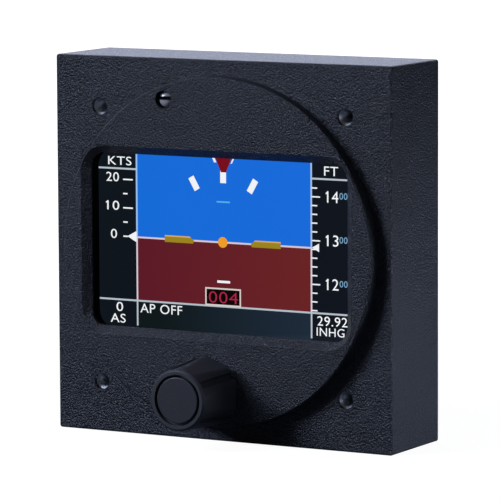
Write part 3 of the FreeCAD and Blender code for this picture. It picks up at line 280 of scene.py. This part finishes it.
def powder_coat(name, dark, light, pebble, height, rough):
    """Wrinkle powder coat: rounded pebbles of one size, broken up by a finer grit. Its colour is
    lighter on the pebble tops and darker in the creases between them, which is painted shade, with
    faint random patches of tone.
    """
    made, tree = new_material(name)
    place = add_node(tree, "ShaderNodeTexCoord").outputs["Object"]
    wander = add_node(
        tree, "ShaderNodeTexNoise", {"Vector": place, "Scale": 0.7 / (pebble * MM), "Detail": 2.0},
    )
    shift = add_node(
        tree, "ShaderNodeVectorMath", {0: wander.outputs["Color"], "Scale": 0.4 * pebble * MM},
        operation="SCALE",
    )
    warped = add_node(
        tree, "ShaderNodeVectorMath", {0: place, 1: shift.outputs[0]}, operation="ADD",
    )
    pebbles = add_node(
        tree, "ShaderNodeTexVoronoi", {"Vector": warped.outputs[0], "Scale": 1 / (pebble * MM)},
        feature="SMOOTH_F1",
    )
    grit = add_node(
        tree, "ShaderNodeTexNoise", {"Vector": place, "Scale": 3.0 / (pebble * MM), "Detail": 3.0},
    )
    relief = add_node(
        tree, "ShaderNodeMath", {0: grit.outputs["Fac"], 1: -0.5, 2: pebbles.outputs["Distance"]},
        operation="MULTIPLY_ADD",
    )
    raised = add_node(
        tree, "ShaderNodeBump",
        {"Height": relief.outputs[0], "Strength": 1.0, "Distance": height * MM}, invert=True,
    )
    patches = add_node(
        tree, "ShaderNodeTexNoise", {"Vector": place, "Scale": 1 / (9 * MM), "Detail": 3.0},
    )
    faint = add_node(
        tree, "ShaderNodeMath", {0: patches.outputs["Fac"], 1: 0.5, 2: -0.25},
        operation="MULTIPLY_ADD",
    )
    # Painted shade: the colour darkens from each pebble's top into the creases around it, with
    # faint random patches of tone laid over it.
    painted_crease_shade_and_tone = add_node(
        tree, "ShaderNodeMath", {0: pebbles.outputs["Distance"], 1: 1.6, 2: faint.outputs[0]},
        operation="MULTIPLY_ADD", use_clamp=True,
    )
    surface(tree, "ShaderNodeBsdfPrincipled", {
        "Base Color": blend(tree, painted_crease_shade_and_tone.outputs[0], colour(light), colour(dark)),
        "Roughness": rescale(tree, grit.outputs["Fac"], rough - 0.08, rough + 0.1),
        "IOR": 1.5,
        "Normal": raised.outputs[0],
    })
    return made


case_coat = powder_coat("black_wrinkle_powder_coat", "#040507", "#2E323E", 0.37, 0.34, 0.36)
casting = smooth_copy("housing", 25)
case = add_piece("case_casting", casting, case_coat, "case", ["housing"])
even_shading(case)

# Panel inserts
# Four knurled, nickel-plated brass inserts, pressed into the corners from inside. Each has
# a cut thread, which shows as bright rings deep in the corner holes.


def turned_metal(name, tint, rough):
    """Turned metal with faint rings from the lathe tool."""
    made, tree = new_material(name)
    place = add_node(tree, "ShaderNodeTexCoord").outputs["Object"]
    rings = add_node(
        tree, "ShaderNodeTexWave", {"Vector": place, "Scale": 1 / (0.9 * MM), "Distortion": 1.5},
        bands_direction="Y",
    )
    surface(tree, "ShaderNodeBsdfPrincipled", {
        "Base Color": colour(tint),
        "Metallic": 1.0,
        "Roughness": rescale(tree, rings.outputs["Fac"], rough, rough + 0.12),
    })
    return made


def spin_into(mesh, profile, centre, steps):
    """Adds a closed profile of (radius, depth) points in metres, spun about an axis along Y."""
    points = [mesh.verts.new((centre.x + r, y, centre.z)) for r, y in profile]
    edges = [mesh.edges.new((a, b)) for a, b in zip(points, points[1:] + points[:1])]
    bmesh.ops.spin(
        mesh, geom=points + edges, cent=(centre.x, 0, centre.z), axis=(0, 1, 0),
        angle=2 * math.pi, steps=steps, use_merge=True,
    )


insert_low, insert_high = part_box("panel_inserts")
insert_radius = 2.6 * MM
insert_reach = insert_high.x - insert_radius
insert_mouth = 1.95 * MM
insert_lead = 0.5 * MM
insert_steps = 40
thread_start = insert_low.y + insert_lead
thread_turns = 7
thread_pitch = (insert_high.y - thread_start) / thread_turns
thread_crest = 1.42 * MM
thread_root = 1.75 * MM
insert_mesh = bmesh.new()
for side in (-1, 1):
    for level in (-1, 1):
        middle = Vector((insert_reach * side, 0, insert_reach * level))
        outline = [(insert_radius, insert_low.y), (insert_radius, insert_high.y)]
        for turn in range(thread_turns):
            back = insert_high.y - turn * thread_pitch
            outline.append((thread_crest, back))
            outline.append((thread_root, back - thread_pitch / 2))
        outline.append((thread_crest, thread_start))
        outline.append((insert_mouth, insert_low.y))
        spin_into(insert_mesh, outline, middle, insert_steps)
merge_points(insert_mesh)
bmesh.ops.recalc_face_normals(insert_mesh, faces=insert_mesh.faces)
insert_metal = turned_metal("nickel_plated_insert", "#D2D4D8", 0.3)
add_piece("insert_threads", insert_mesh, insert_metal, "case", ["panel_inserts"])

# Window
# A thick coated cover glass bonded to the display, on a thin black gasket behind the
# bevel. Its coating all but removes reflections.


def moulded(name, tint, rough, grain=0.15, relief=0.004):
    """Moulded plastic or rubber: one colour with a fine spark-eroded grain."""
    made, tree = new_material(name)
    place = add_node(tree, "ShaderNodeTexCoord").outputs["Object"]
    speckle = add_node(
        tree, "ShaderNodeTexNoise", {"Vector": place, "Scale": 1 / (grain * MM), "Detail": 2.0},
    )
    raised = add_node(
        tree, "ShaderNodeBump",
        {"Height": speckle.outputs["Fac"], "Strength": 1.0, "Distance": relief * MM},
    )
    surface(tree, "ShaderNodeBsdfPrincipled", {
        "Base Color": colour(tint),
        "Roughness": rescale(tree, speckle.outputs["Fac"], rough - 0.06, rough + 0.06),
        "IOR": 1.5,
        "Normal": raised.outputs[0],
    })
    return made


def dress(node, material):
    """Gives a CAD node its finish."""
    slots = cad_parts[node].data.materials
    slots.clear()
    slots.append(material)


cover_glass, tree = new_material("coated_cover_glass")
surface(tree, "ShaderNodeBsdfPrincipled", {
    "Base Color": (1, 1, 1, 1),
    "Roughness": 0.0,
    "IOR": 1.5,
    "Specular IOR Level": 0.05,
    "Transmission Weight": 1.0,
})
dress("window_glass", cover_glass)
seal_rubber = moulded("black_silicone_rubber", "#0C0C0D", 0.6)
dress("window_gasket", seal_rubber)

# Display picture
# A bright liquid crystal cell bonded to the glass. It shows an attitude picture between a
# speed scale and a height scale, with a heading box and a status line below.
screen_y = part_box("window_glass")[1].y
layer = 0.02 * MM


def glow(name, tint, second=None, start=0.0, end=1.0):
    """A lit part of the display: one colour, or a drift from it to a second across the cell, which
    is painted shading for the cell's light changing with the viewing angle.
    """
    made, tree = new_material(name)
    lit = {"Base Color": (0, 0, 0, 1), "Roughness": 0.4, "Specular IOR Level": 0.0,
           "Emission Strength": 1.0, "Emission Color": colour(tint)}
    if second:
        # Painted shading: the emitted colour drifts from left to right across the cell.
        place = add_node(tree, "ShaderNodeTexCoord").outputs["Object"]
        across = add_node(tree, "ShaderNodeSeparateXYZ", {0: place})
        far = rescale(tree, across.outputs["X"], 0.0, 1.0, start * MM, end * MM)
        lit["Emission Color"] = blend(tree, far, colour(tint), colour(second))
    surface(tree, "ShaderNodeBsdfPrincipled", lit)
    return made


def lit_shape(mesh, outline, level):
    """Adds a thin plate, outlined by (x, z) points in mm, on one layer of the cell."""
    back = screen_y - (level + 1) * layer
    corners = [mesh.verts.new((x * MM, back, z * MM)) for x, z in outline]
    face = mesh.faces.new(corners)
    grown = bmesh.ops.extrude_face_region(mesh, geom=[face])
    moved = [v for v in grown["geom"] if isinstance(v, bmesh.types.BMVert)]
    bmesh.ops.translate(mesh, verts=moved, vec=(0, -layer, 0))


def lit_box(mesh, left, right, low, high, level):
    """Adds an upright rectangular plate on one layer of the cell, with its sides in mm."""
    lit_shape(mesh, [(left, low), (right, low), (right, high), (left, high)], level)


def add_picture(name, mesh, material):
    """Adds a finished part of the picture to the display's face."""
    bmesh.ops.recalc_face_normals(mesh, faces=mesh.faces)
    add_piece(name, mesh, material, "case")


picture_left, picture_right = -31.95, 32.7
picture_low, picture_high = -18.9, 21.8
picture_corner = 3.9
line_end = 31.9
left_line, right_line = -21.92, 22.9
horizon = 2.07
scale_line = 17.52
strip_line = -12.4
column_line_low = -18.1
line_half = 0.2

mesh = bmesh.new()
lit_box(mesh, left_line, right_line, horizon, picture_high, 0)
sky_blue = glow("lit_sky_blue", "#176DDB", "#1A6CDE", -20, 20)
add_picture("picture_sky", mesh, sky_blue)
mesh = bmesh.new()
lit_box(mesh, left_line, right_line, strip_line, horizon, 0)
earth_red = glow("lit_earth_red", "#5E1B28", "#6B2426", -20, 20)
add_picture("picture_ground", mesh, earth_red)
mesh = bmesh.new()
for inner, outer in ((left_line, picture_left), (right_line, picture_right)):
    side = math.copysign(picture_corner, outer)
    outline = [(inner, picture_low)]
    for middle, start in ((picture_low + picture_corner, -90), (picture_high - picture_corner, 0)):
        for turn in range(start, start + 91, 15):
            lean = math.radians(turn)
            x = outer + side * (math.cos(lean) - 1)
            outline.append((x, middle + picture_corner * math.sin(lean)))
    outline.append((inner, picture_high))
    lit_shape(mesh, outline, 0)
column_dark = glow("lit_dark_column", "#10161D", "#11161F", -20, 28)
add_picture("picture_columns", mesh, column_dark)
mesh = bmesh.new()
lit_box(mesh, left_line, right_line, picture_low, strip_line, 0)
strip_dark = glow("lit_dark_strip", "#10191B", "#1F2C3B", -16, 22)
add_picture("picture_status_strip", mesh, strip_dark)

mesh = bmesh.new()
lit_box(mesh, left_line - line_half, left_line + line_half, horizon, picture_high, 1)
lit_box(mesh, right_line - line_half, right_line + line_half, horizon, picture_high, 1)
add_picture("picture_sky_borders", mesh, glow("lit_pale_blue", "#9FC3F2"))
mesh = bmesh.new()
for middle in (left_line, right_line):
    lit_box(mesh, middle - line_half, middle + line_half, strip_line, horizon, 1)
lit_box(mesh, left_line, right_line, horizon - line_half, horizon + line_half, 2)
add_picture("picture_ground_borders", mesh, glow("lit_pinkish_white", "#DCCBD6"))
mesh = bmesh.new()
for middle in (left_line, right_line):
    lit_box(mesh, middle - line_half, middle + line_half, column_line_low, strip_line, 1)
lit_box(mesh, -line_end, left_line, scale_line - line_half, scale_line + line_half, 1)
lit_box(mesh, right_line, line_end, scale_line - line_half, scale_line + line_half, 1)
lit_box(mesh, -line_end, line_end, strip_line - line_half, strip_line + line_half, 2)
grey_white = glow("lit_grey_white", "#B9C4CE")
add_picture("picture_rules", mesh, grey_white)

# Scale ticks
# Thin lit strokes beside the numbers: every five on the speed scale and every twenty on the
# height scale, with a white pointer at the middle of each.
speed_step = 3.24
speed_tick_low = 2.12
speed_tick_outer, speed_tick_long, speed_tick_short = -25.5, -22.95, -24.35
speed_tick_half = 0.16
height_step = 1.951
height_tick_middle = 3.735
height_tick_long, height_tick_short = 25.1, 24.4
height_tick_half = 0.15
mesh = bmesh.new()
for count in range(5):
    z = speed_tick_low + count * speed_step
    inner = speed_tick_long if count in (2, 4) else speed_tick_short
    lit_box(mesh, speed_tick_outer, inner, z - speed_tick_half, z + speed_tick_half, 1)
for count in range(-8, 7):
    z = height_tick_middle + count * height_step
    outer = height_tick_long if count % 5 == 0 else height_tick_short
    lit_box(mesh, right_line, outer, z - height_tick_half, z + height_tick_half, 1)
white = glow("lit_white", "#F4F7FA")
add_picture("picture_ticks", mesh, white)
mesh = bmesh.new()
lit_shape(mesh, [(-24.41, 2.18), (-22.03, 0.9), (-22.03, 3.45)], 3)
lit_shape(mesh, [(23.07, 2.18), (24.85, 1.24), (24.85, 3.12)], 3)
add_picture("picture_pointers", mesh, white)

# Attitude symbols
# Roll marks on an arc above the aeroplane symbol, a red roll pointer, pitch bars, and the
# gold wings and dot of the aeroplane itself.
centre_x = 0.56
roll_in, roll_out = 13.35, 16.6
roll_half = 0.75
mesh = bmesh.new()
for turn in (-30, 0, 30):
    lean = math.radians(turn)
    outline = []
    for across, out in (
        (-roll_half, roll_in), (roll_half, roll_in), (roll_half, roll_out), (-roll_half, roll_out),
    ):
        x = centre_x + across * math.cos(lean) + out * math.sin(lean)
        outline.append((x, horizon - across * math.sin(lean) + out * math.cos(lean)))
    lit_shape(mesh, outline, 1)
lit_box(mesh, centre_x - 1.65, centre_x + 1.65, -7.1, -6.55, 1)
lit_shape(mesh, [(-1.75, 20.0), (-1.15, 20.0), (-1.95, 21.7), (-2.6, 21.7)], 1)
lit_shape(mesh, [(2.45, 19.9), (2.8, 19.9), (3.35, 20.9), (3.05, 21.0)], 1)
add_picture("picture_roll_marks", mesh, white)
mesh = bmesh.new()
lit_box(mesh, centre_x - 1.7, centre_x + 1.7, 11.0, 11.35, 1)
add_picture("picture_pitch_bar", mesh, glow("lit_cyan", "#58B4EE"))
mesh = bmesh.new()
lit_shape(mesh, [(0.0, 17.85), (1.3, 17.85), (3.0, 21.7), (-1.7, 21.7)], 2)
add_picture("picture_roll_pointer", mesh, glow("lit_deep_red", "#7A0E1C"))
mesh = bmesh.new()
for side in (-1, 1):
    outline = [(7.55, 1.4), (14.9, 1.4), (14.9, 2.65), (8.1, 2.65), (7.3, 2.1)]
    lit_shape(mesh, [(centre_x / 2 + x * side, z) for x, z in outline[::side]], 3)
add_picture("picture_wings", mesh, glow("lit_olive_gold", "#9C8620"))
mesh = bmesh.new()
for side in (-1, 1):
    outline = [(8.1, 2.65), (14.9, 2.65), (14.9, 2.95), (8.4, 2.95)]
    lit_shape(mesh, [(centre_x / 2 + x * side, z) for x, z in outline[::side]], 3)
add_picture("picture_wing_tops", mesh, glow("lit_pale_gold", "#D9AE62"))
dot_x, dot_radius, dot_steps = 0.39, 1.2, 40
turns = [2 * math.pi * step / dot_steps for step in range(dot_steps)]
mesh = bmesh.new()
lit_shape(mesh, [
    (dot_x - dot_radius * math.sin(turn), horizon + dot_radius * math.cos(turn)) for turn in turns
], 3)
add_picture("picture_nose_dot", mesh, glow("lit_orange", "#F0A028"))

# Heading box
# A black box with an off-white frame at the foot of the picture, for the heading's digits.
mesh = bmesh.new()
lit_box(mesh, -4.2, 5.0, -12.33, -8.24, 3)
add_picture("picture_heading_frame", mesh, glow("lit_off_white", "#D9D2CC"))
mesh = bmesh.new()
lit_box(mesh, -3.85, 4.65, -11.98, -8.59, 4)
add_picture("picture_heading_field", mesh, glow("lit_black", "#0E0608"))

# Numbers and unit words
# Plain lit sans-serif figures, each cut to the height and width that it has on the display.


def lit_words(name, lines, material, level, bold=0.0):
    """Flat letters on one layer; each line gives its text, left, right, low and high in mm."""
    mesh = bmesh.new()
    for text, left, right, low, high in lines:
        letters = bpy.data.curves.new(name, "FONT")
        letters.body = text
        letters.offset = bold
        letters.space_character = 1.06
        letters.resolution_u = 4
        letters.extrude = 0.01
        carrier = bpy.data.objects.new(name, letters)
        bpy.context.scene.collection.objects.link(carrier)
        bpy.context.view_layer.update()
        finished = carrier.evaluated_get(bpy.context.evaluated_depsgraph_get())
        flat = bpy.data.meshes.new_from_object(finished)
        bpy.data.objects.remove(carrier)
        xs = [v.co.x for v in flat.vertices]
        ys = [v.co.y for v in flat.vertices]
        zs = [v.co.z for v in flat.vertices]
        wide = (right - left) * MM / (max(xs) - min(xs))
        tall = (high - low) * MM / (max(ys) - min(ys))
        deep = layer / (max(zs) - min(zs))
        for v in flat.vertices:
            v.co = (
                left * MM + (v.co.x - min(xs)) * wide,
                screen_y - (level + 1) * layer - (v.co.z - min(zs)) * deep,
                low * MM + (v.co.y - min(ys)) * tall,
            )
        mesh.from_mesh(flat)
        bpy.data.meshes.remove(flat)
    merge_points(mesh)
    add_picture(name, mesh, material)


lit_words("picture_left_words", [
    ("KTS", -29.37, -23.22, 18.31, 20.27),
    ("20", -29.9, -26.56, 14.52, 16.62),
    ("10", -29.73, -26.54, 8.02, 10.12),
    ("0", -28.81, -27.19, 1.55, 3.65),
    ("0", -27.49, -25.74, -15.1, -13.0),
    ("AS", -29.06, -25.1, -17.72, -15.67),
], white, 2)
lit_words("picture_right_words", [
    ("FT", 26.15, 29.64, 18.3, 20.35),
    ("14", 26.86, 29.7, 12.36, 14.9),
    ("13", 26.84, 29.7, 2.67, 5.17),
    ("12", 26.81, 29.7, -7.07, -4.57),
    ("29.92", 24.35, 31.9, -15.15, -13.02),
    ("INHG", 24.17, 31.15, -17.45, -15.55),
], white, 2)
lit_words("picture_status_words", [("AP OFF", -21.18, -10.23, -15.07, -12.95)], white, 2)
lit_words("picture_hundreds", [
    ("00", 29.95, 31.95, 13.2, 14.65),
    ("00", 29.95, 31.95, 3.45, 4.9),
    ("00", 29.95, 31.95, -6.3, -4.85),
], glow("lit_thin_cyan", "#7FA9C9"), 2)
crimson = glow("lit_crimson", "#AC2848")
lit_words("picture_heading_digits", [("004", -3.26, 4.2, -11.68, -9.08)], crimson, 5, -0.008)
mesh = bmesh.new()
for left, top, tall in (
    (-29.5, 10.12, 2.1), (27.1, 14.9, 2.54), (27.1, 5.17, 2.5), (27.1, -4.57, 2.5),
):
    lit_shape(mesh, [
        (left - 0.55, top - 0.29 * tall), (left - 0.55, top - 0.14 * tall),
        (left + 0.1, top), (left + 0.1, top - 0.16 * tall),
    ], 2)
add_picture("picture_one_flags", mesh, white)

# Knob
# A moulded knob of matt black nylon with a snap-in cap. Its edges are slightly rounded, as
# they leave the mould, and the flats and grooves are for the fingers.


def rounded_copy(node, width, steps, crease=32):
    """A merged copy of a node with its sharp edges rounded by a small bevel."""
    mesh = merged_copy(node)
    bmesh.ops.dissolve_limit(
        mesh, angle_limit=math.radians(0.5), verts=mesh.verts, edges=mesh.edges,
    )
    sharp = [e for e in mesh.edges if e.calc_face_angle(0) > math.radians(crease)]
    bmesh.ops.bevel(
        mesh, geom=sharp, offset=width * MM, segments=steps, profile=0.5, affect="EDGES",
        material=-1, clamp_overlap=True,
    )
    for face in mesh.faces:
        face.smooth = True
    return mesh


knob_black = moulded("matt_black_nylon", "#2A2B2F", 0.5, 0.25, 0.012)
shell = rounded_copy("knob_body", 0.12, 2)
knob = add_piece("knob_shell", shell, knob_black, "knob", ["knob_body"])
even_shading(knob)
cap_black = moulded("satin_black_cap", "#252429", 0.45, 0.3, 0.04)
disc = smooth_copy("knob_cap")
cap = add_piece("knob_disc", disc, cap_black, "knob", ["knob_cap"])
even_shading(cap)

# Light sensor window
# A clear acrylic rod with a domed front that looks out of the small hole at the top left.
# A dark band a little above the middle of its dome is painted into its colour. It is a painted
# reflection.
painted_band_rise = 0.3 * MM
painted_band_half, painted_band_blur = 0.3 * MM, 0.3 * MM
pipe_low, pipe_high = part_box("light_pipe")
painted_band_height = (pipe_low.z + pipe_high.z) / 2 + painted_band_rise
acrylic, tree = new_material("clear_acrylic")
place = add_node(tree, "ShaderNodeTexCoord").outputs["Object"]
height = add_node(tree, "ShaderNodeSeparateXYZ", {0: place}).outputs["Z"]
above = add_node(tree, "ShaderNodeMath", {0: height, 1: painted_band_height}, operation="SUBTRACT")
off_painted_band = add_node(tree, "ShaderNodeMath", {0: above.outputs[0]}, operation="ABSOLUTE")
clear = rescale(tree, off_painted_band.outputs[0], 0.0, 1.0, painted_band_half, painted_band_half + painted_band_blur)
# The base colour is near black inside the painted reflection band and milky white elsewhere.
surface(tree, "ShaderNodeBsdfPrincipled", {
    "Base Color": blend(tree, clear, colour("#0C0A0C"), colour("#DAD6D8")),
    "Roughness": 0.08,
    "IOR": 1.49,
    "Transmission Weight": 0.6,
})
lens_rod = smooth_copy("light_pipe")
pipe = add_piece("sensor_lens", lens_rod, acrylic, "case", ["light_pipe"])
even_shading(pipe)

# Rear cover and its fasteners
# A flat plate let in flush, in a smoother powder coat, with countersunk screws of blackened
# steel. Aluminium hose fittings stand on rubber seals above the steel-shelled plug.


def sheet_metal(name, tint, rough, scratch=0.4):
    """Bare or plated metal with fine scratches from handling and forming."""
    made, tree = new_material(name)
    place = add_node(tree, "ShaderNodeTexCoord").outputs["Object"]
    stretched = add_node(tree, "ShaderNodeMapping", {"Vector": place, "Scale": (0.15, 1.0, 1.0)})
    lines = add_node(
        tree, "ShaderNodeTexNoise",
        {"Vector": stretched.outputs[0], "Scale": 1 / (scratch * MM), "Detail": 4.0},
    )
    surface(tree, "ShaderNodeBsdfPrincipled", {
        "Base Color": colour(tint),
        "Metallic": 1.0,
        "Roughness": rescale(tree, lines.outputs["Fac"], rough - 0.08, rough + 0.1),
    })
    return made


cover_coat = powder_coat("black_cover_powder_coat", "#15161A", "#1F2126", 0.6, 0.07, 0.48)
plate = smooth_copy("rear_cover", 25)
cover = add_piece("cover_plate", plate, cover_coat, "case", ["rear_cover"])
even_shading(cover)
zinc_steel = sheet_metal("zinc_plated_steel", "#B9BBBE", 0.3)
black_steel = sheet_metal("black_oxide_steel", "#2A2A2C", 0.38)
tin_plate = sheet_metal("tinned_steel", "#C9C8C2", 0.25)
anodised = sheet_metal("clear_anodised_aluminium", "#B5B8BC", 0.36, 0.8)
for node, piece_name in (("pitot_fitting", "pitot_barb"), ("static_fitting", "static_barb")):
    barb = add_piece(piece_name, smooth_copy(node), anodised, "case", [node])
    even_shading(barb)
dress("port_seals", seal_rubber)
dress("cover_gasket", seal_rubber)
dress("cover_screws", black_steel)
dress("connector_shell", tin_plate)
plug_plastic = moulded("glass_filled_polyester", "#17181A", 0.45)
dress("connector_block", plug_plastic)
gold = sheet_metal("gold_flashed_contact", "#D9B063", 0.22)
dress("connector_contacts", gold)
dress("jack_screws", zinc_steel)

# Pieces inside the case
# Boards, chips, brackets and fasteners that nobody sees with the cover on, each in its own
# plain finish.
display_frame = moulded("black_cell_edge", "#101114", 0.3)
lamp_white = moulded("white_light_plate", "#E6E7E7", 0.5)
frame_plastic = moulded("black_polycarbonate", "#141416", 0.5)
board_mask = moulded("green_solder_mask", "#1C5A38", 0.35, 0.5, 0.003)
chip_resin = moulded("black_chip_resin", "#16161A", 0.55)
ribbon_film = moulded("amber_polyimide_film", "#B4711E", 0.25)
clear_rubber = moulded("milky_silicone_sleeve", "#D5D6D2", 0.4)
can_alloy = sheet_metal("bright_capacitor_can", "#C4C6C9", 0.2)
inside_finishes = {
    "display_panel": display_frame,
    "backlight": lamp_white,
    "display_clamp": frame_plastic,
    "clamp_screws": zinc_steel,
    "display_flex": ribbon_film,
    "light_sensor": chip_resin,
    "main_board": board_mask,
    "board_screws": zinc_steel,
    "processor": chip_resin,
    "memory_chips": chip_resin,
    "shield_can": tin_plate,
    "inertial_sensor": chip_resin,
    "power_choke": chip_resin,
    "power_capacitors": can_alloy,
    "flex_socket": frame_plastic,
    "jack_nuts": zinc_steel,
    "pitot_sleeve": clear_rubber,
    "pitot_sensor": chip_resin,
    "static_sleeve": clear_rubber,
    "static_sensor": chip_resin,
    "port_nuts": zinc_steel,
    "encoder_body": frame_plastic,
    "encoder_bracket": tin_plate,
    "encoder_bushing": zinc_steel,
    "bushing_washer": zinc_steel,
    "bushing_nut": zinc_steel,
    "switch_dome": tin_plate,
    "encoder_board": board_mask,
    "encoder_terminals": tin_plate,
    "board_header": frame_plastic,
    "encoder_rotor": frame_plastic,
    "encoder_shaft": anodised,
    "knob_collet": turned_metal("turned_brass", "#C9A66B", 0.28),
    "collet_screw": zinc_steel,
}
for node, finish in inside_finishes.items():
    dress(node, finish)
